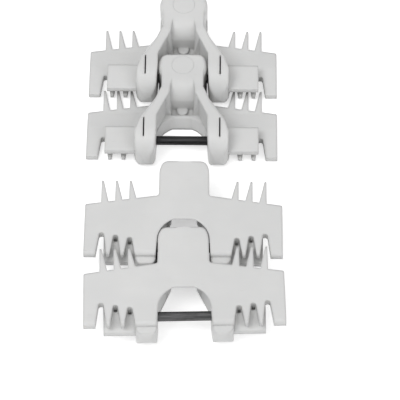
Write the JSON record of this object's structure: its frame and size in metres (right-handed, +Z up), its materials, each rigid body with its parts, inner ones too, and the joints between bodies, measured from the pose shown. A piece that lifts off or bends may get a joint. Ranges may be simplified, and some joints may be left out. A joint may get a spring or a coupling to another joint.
{
  "type": "flexible conveyor chain",
  "caption": "Two loose sections of flexible conveyor chain: finger-edged plastic links joined by swivelling pivots on steel pins, one section deck down and one deck up.",
  "frame": {"origin": "on the table, under the middle of the whole set", "axes": "+Z up from the table, +Y the way both sections' noses point (to the top of the picture), +X across the chain to the picture's right"},
  "size_m": [0.0848, 0.1762, 0.0169],
  "materials": {
    "link_acetal": "satin natural white, moulded",
    "pivot_acetal": "satin natural white, moulded",
    "pin_steel": "drawn bar, dull"
  },
  "bodies": {
    "link_1": {"link_1": "link_acetal", "pin_1": "pin_steel"},
    "pivot_1": {"pivot_1": "pivot_acetal"},
    "pivot_2": {"pivot_2": "pivot_acetal"},
    "link_2": {"link_2": "link_acetal", "pin_2": "pin_steel"},
    "link_3": {"link_3": "link_acetal", "pin_3": "pin_steel"},
    "pivot_3": {"pivot_3": "pivot_acetal"},
    "pivot_4": {"pivot_4": "pivot_acetal"},
    "link_4": {"link_4": "link_acetal", "pin_4": "pin_steel"}
  },
  "joints": [
    {"name": "free_pivot_1_turn", "type": "hinge", "parent": "link_1", "child": "pivot_1", "pos_m": [-0.0001, 0.08166, 0.0061], "axis": [0, 0, -1], "continuous": true},
    {"name": "chain_bend_a", "type": "hinge", "parent": "link_1", "child": "pivot_2", "pos_m": [-0.00045, 0.04816, 0.0061], "axis": [-0.9999, 0.0105, 0], "range_deg": [-5, 26]},
    {"name": "side_flex_a", "type": "hinge", "parent": "pivot_2", "child": "link_2", "pos_m": [-0.00045, 0.04816, 0.0061], "axis": [0, 0, -1], "range_deg": [-5, 5]},
    {"name": "section_b_place", "type": "slide", "parent": "link_1", "child": "link_3", "axis": [0, -1, 0], "range_m": [0, 0.05]},
    {"name": "free_pivot_3_turn", "type": "hinge", "parent": "link_3", "child": "pivot_3", "pos_m": [0.00045, -0.01004, 0.0108], "axis": [0, 0, 1], "continuous": true},
    {"name": "chain_bend_b", "type": "hinge", "parent": "link_3", "child": "pivot_4", "pos_m": [0.0001, -0.04353, 0.0108], "axis": [0.9999, -0.0105, 0], "range_deg": [-5, 26]},
    {"name": "side_flex_b", "type": "hinge", "parent": "pivot_4", "child": "link_4", "pos_m": [0.0001, -0.04353, 0.0108], "axis": [0, 0, 1], "range_deg": [-6.7, 3.3]}
  ]
}
